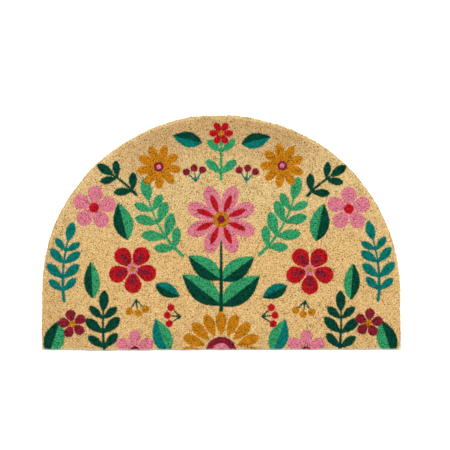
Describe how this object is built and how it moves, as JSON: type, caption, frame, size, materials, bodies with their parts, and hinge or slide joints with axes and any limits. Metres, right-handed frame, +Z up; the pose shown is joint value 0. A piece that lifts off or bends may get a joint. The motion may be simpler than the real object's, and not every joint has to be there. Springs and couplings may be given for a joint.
{
  "type": "half round coir doormat",
  "caption": "Flat half round doormat of coir pile on a thin base, with a straight front edge, short straight sides and an arched back; it lies on a floor.",
  "frame": {"origin": "centre of the mat's box on its underside", "axes": "+X along the straight edge, +Y from the straight edge towards the top of the arch, +Z up out of the pile"},
  "size_m": [0.6012, 0.393, 0.015],
  "materials": {
    "coir_pile": "rough cut fibre pile with a printed floral pattern",
    "base": "matte, finely pebbled"
  },
  "bodies": {
    "root": {"coir_mat": "coir_pile"}
  },
  "joints": []
}
